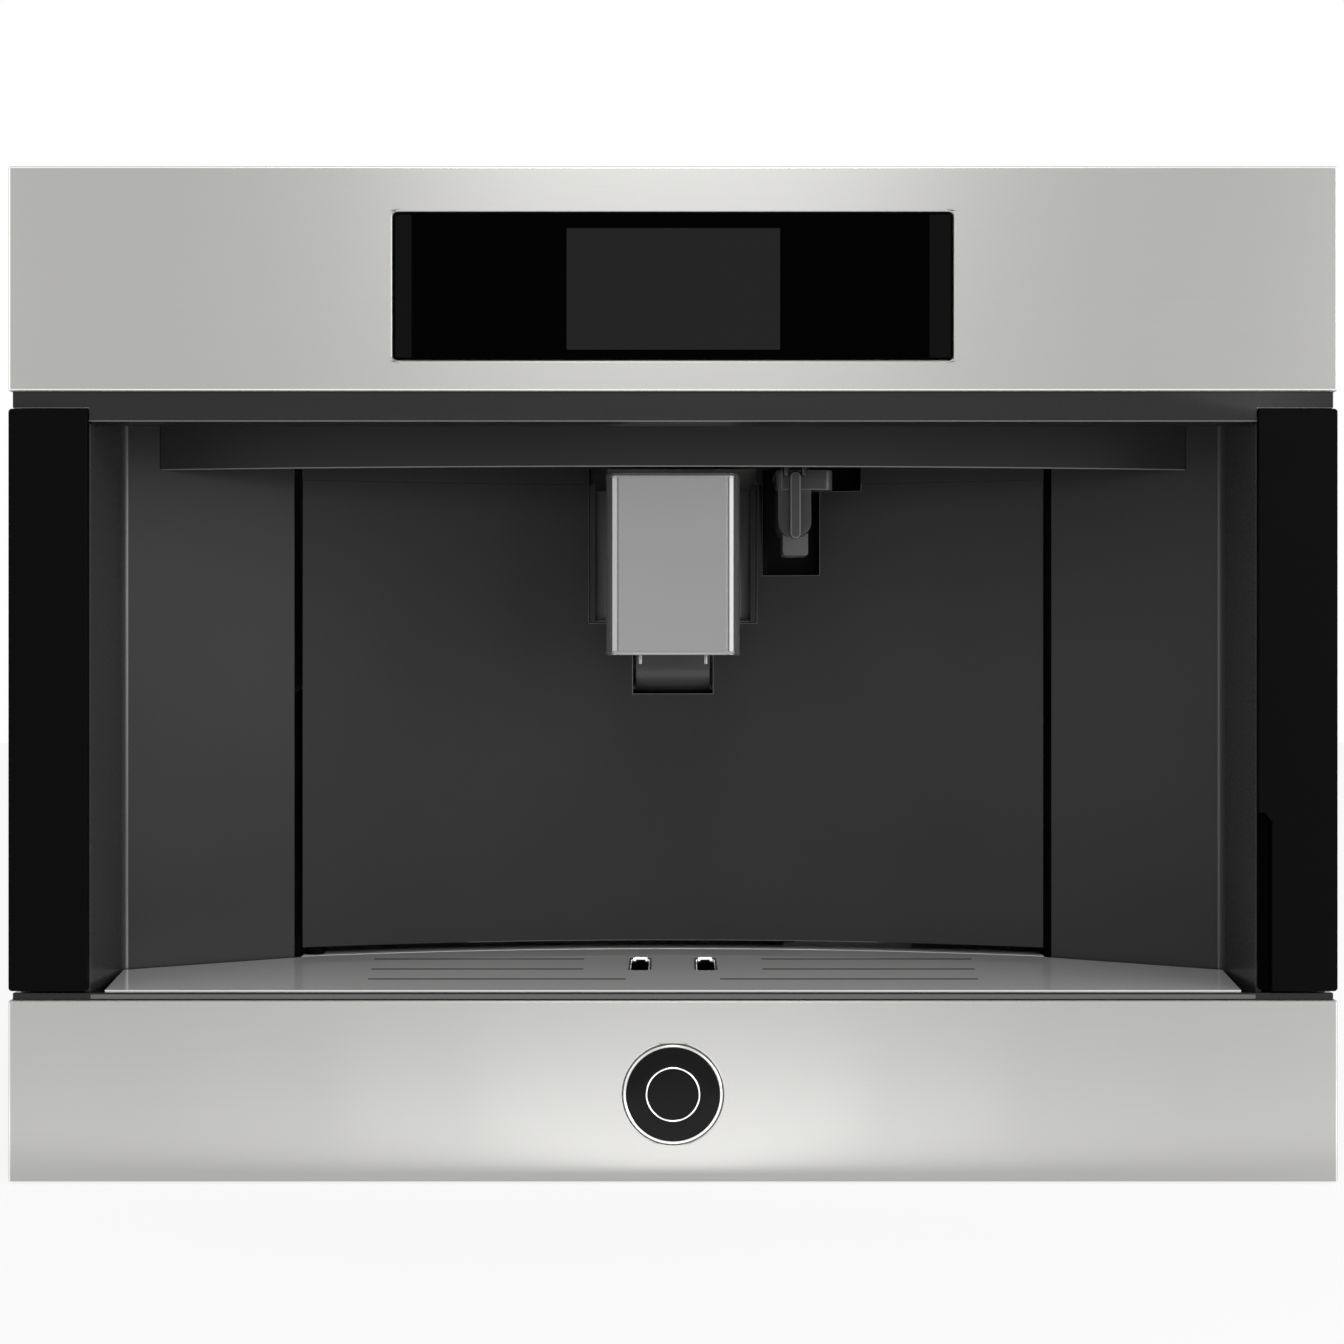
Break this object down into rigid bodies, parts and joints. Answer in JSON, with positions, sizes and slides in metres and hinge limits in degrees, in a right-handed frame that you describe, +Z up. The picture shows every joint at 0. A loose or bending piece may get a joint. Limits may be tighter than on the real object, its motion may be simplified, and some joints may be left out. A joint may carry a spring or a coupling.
{
  "type": "built-in coffee machine",
  "caption": "Built-in automatic coffee machine on pull-out rails, with a steel front, a curved cup bay, a swing door with a sliding spout, a hot-water outlet and a drip tray.",
  "frame": {"origin": "middle of the footprint, on the cabinet floor that the rails stand on", "axes": "+X to the right seen from the front, +Y towards the back of the cabinet, +Z up"},
  "size_m": [0.595, 0.412, 0.455],
  "materials": {
    "steel": "horizontally brushed stainless steel, satin",
    "black_gloss": "black glass-like gloss",
    "screen": "dark grey display window",
    "frame_plastic": "anthracite moulded plastic, satin",
    "bay_plastic": "anthracite moulded plastic, satin",
    "spout_metal": "grey satin metal with polished edges",
    "outlet_grey": "grey moulded plastic",
    "tray_plate": "grey satin metal plate",
    "tray_black": "black moulded plastic",
    "badge_black": "black enamel disc",
    "bright_metal": "polished metal",
    "zinc_sheet": "zinc-plated sheet steel",
    "rail_steel": "zinc-plated rail steel",
    "inner_plastic": "black inner plastic",
    "white_plastic": "white inner plastic",
    "tank_clear": "smoked clear plastic",
    "board_green": "printed circuit board",
    "cast_aluminium": "cast aluminium",
    "brass_part": "brass and ceramic",
    "lamp_lens": "milky lens",
    "dark_metal": "black oxide steel"
  },
  "bodies": {
    "cabinet_rails": {"cabinet_rails": "rail_steel"},
    "middle_rails": {"middle_rails": "rail_steel"},
    "machine": {"inner_rails": "rail_steel", "chassis_base": "zinc_sheet", "housing_left": "zinc_sheet", "housing_right": "zinc_sheet", "housing_back": "zinc_sheet", "housing_top": "zinc_sheet", "housing_screws": "rail_steel", "mains_inlet": "tray_black", "front_frame": "frame_plastic", "upper_fascia": "steel", "lower_fascia": "steel", "display_glass": "black_gloss", "display_screen": "screen", "control_board": "board_green", "badge_disc": "badge_black", "badge_ring": "bright_metal", "pull_bar_left": "black_gloss", "pull_bar_right": "black_gloss", "cavity_left_wall": "bay_plastic", "cavity_right_wall": "bay_plastic", "cavity_ceiling": "bay_plastic", "cavity_shroud": "bay_plastic", "bay_lamps": "lamp_lens", "door_header": "bay_plastic", "door_sill": "tray_plate", "tray_well": "tray_black", "door_hinge_pins": "dark_metal", "latch_magnet": "dark_metal", "hot_water_connector": "tray_black", "inner_deck": "zinc_sheet", "bean_hopper": "tank_clear", "hopper_cone": "tank_clear", "powder_funnel": "inner_plastic", "grinder_body": "inner_plastic", "brew_unit": "white_plastic", "thermoblock": "cast_aluminium", "water_pump": "brass_part", "flow_meter": "white_plastic", "power_board": "board_green"},
    "service_door": {"service_door": "bay_plastic", "spout_guide": "bay_plastic", "scoop_plate": "bay_plastic"},
    "coffee_spout": {"spout_cover": "spout_metal", "spout_body": "inner_plastic", "spout_nozzles": "bright_metal"},
    "grounds_container": {"grounds_container": "inner_plastic"},
    "hot_water_spout": {"hot_water_spout": "outlet_grey"},
    "hot_water_lever": {"hot_water_lever": "outlet_grey"},
    "drip_tray": {"drip_tray": "tray_black"},
    "cup_plate": {"cup_plate": "tray_plate"},
    "water_tank": {"water_tank": "tank_clear"},
    "tank_lid": {"tank_lid": "inner_plastic"},
    "hopper_lid": {"hopper_lid": "inner_plastic"},
    "funnel_lid": {"funnel_lid": "inner_plastic"},
    "grinder_burr": {"grinder_burr": "cast_aluminium"},
    "grinder_knob": {"grinder_knob": "inner_plastic"},
    "brew_piston": {"brew_piston": "white_plastic"},
    "power_switch": {"power_switch": "black_gloss"}
  },
  "joints": [
    {"name": "pull_out", "type": "slide", "parent": "cabinet_rails", "child": "machine", "axis": [0, -1, 0], "range_m": [0, 0.3]},
    {"name": "rail_follow", "type": "slide", "parent": "cabinet_rails", "child": "middle_rails", "axis": [0, -1, 0], "range_m": [0, 0.15]},
    {"name": "door_hinge", "type": "hinge", "parent": "machine", "child": "service_door", "pos_m": [-0.182, -0.0692, 0.207], "axis": [0, 0, 1], "range_deg": [-90, 0]},
    {"name": "spout_height", "type": "slide", "parent": "service_door", "child": "coffee_spout", "axis": [0, 0, 1], "range_m": [-0.05, 0]},
    {"name": "container_lift", "type": "slide", "parent": "service_door", "child": "grounds_container", "axis": [0, 0, 1], "range_m": [0, 0.03]},
    {"name": "outlet_pull_off", "type": "slide", "parent": "machine", "child": "hot_water_spout", "axis": [0, -1, 0], "range_m": [0, 0.015]},
    {"name": "outlet_lever_press", "type": "hinge", "parent": "hot_water_spout", "child": "hot_water_lever", "pos_m": [0.05975, -0.1122, 0.327], "axis": [-1, 0, 0], "range_deg": [0, 4], "stiffness_Nm_per_rad": 0.05},
    {"name": "tray_lift", "type": "slide", "parent": "machine", "child": "drip_tray", "axis": [0, 0, 1], "range_m": [0, 0.05]},
    {"name": "plate_lift", "type": "slide", "parent": "drip_tray", "child": "cup_plate", "axis": [0, 0, 1], "range_m": [0, 0.03]},
    {"name": "tank_lift", "type": "slide", "parent": "machine", "child": "water_tank", "axis": [0, 0, 1], "range_m": [0, 0.23]},
    {"name": "tank_lid_hinge", "type": "hinge", "parent": "water_tank", "child": "tank_lid", "pos_m": [0.219, 0.1743, 0.42925], "axis": [-1, 0, 0], "range_deg": [0, 95]},
    {"name": "hopper_lid_hinge", "type": "hinge", "parent": "machine", "child": "hopper_lid", "pos_m": [-0.09, 0.1283, 0.43725], "axis": [-1, 0, 0], "range_deg": [0, 95]},
    {"name": "funnel_lid_hinge", "type": "hinge", "parent": "machine", "child": "funnel_lid", "pos_m": [0.015, 0.0683, 0.43725], "axis": [-1, 0, 0], "range_deg": [0, 95]},
    {"name": "burr_spin", "type": "hinge", "parent": "machine", "child": "grinder_burr", "pos_m": [-0.09, 0.0598, 0.32], "axis": [0, 0, 1], "continuous": true},
    {"name": "grind_setting", "type": "hinge", "parent": "machine", "child": "grinder_knob", "pos_m": [0.062, 0.0348, 0.45], "axis": [0, 0, 1], "range_deg": [-120, 120]},
    {"name": "brew_press", "type": "slide", "parent": "machine", "child": "brew_piston", "axis": [0, 0, 1], "range_m": [0, 0.03]},
    {"name": "mains_switch", "type": "hinge", "parent": "machine", "child": "power_switch", "pos_m": [-0.12, 0.1908, 0.08], "axis": [1, 0, 0], "range_deg": [-7, 7]}
  ],
  "couplings": [
    {"joint": "rail_follow", "follows": "pull_out", "ratio": 0.5}
  ]
}
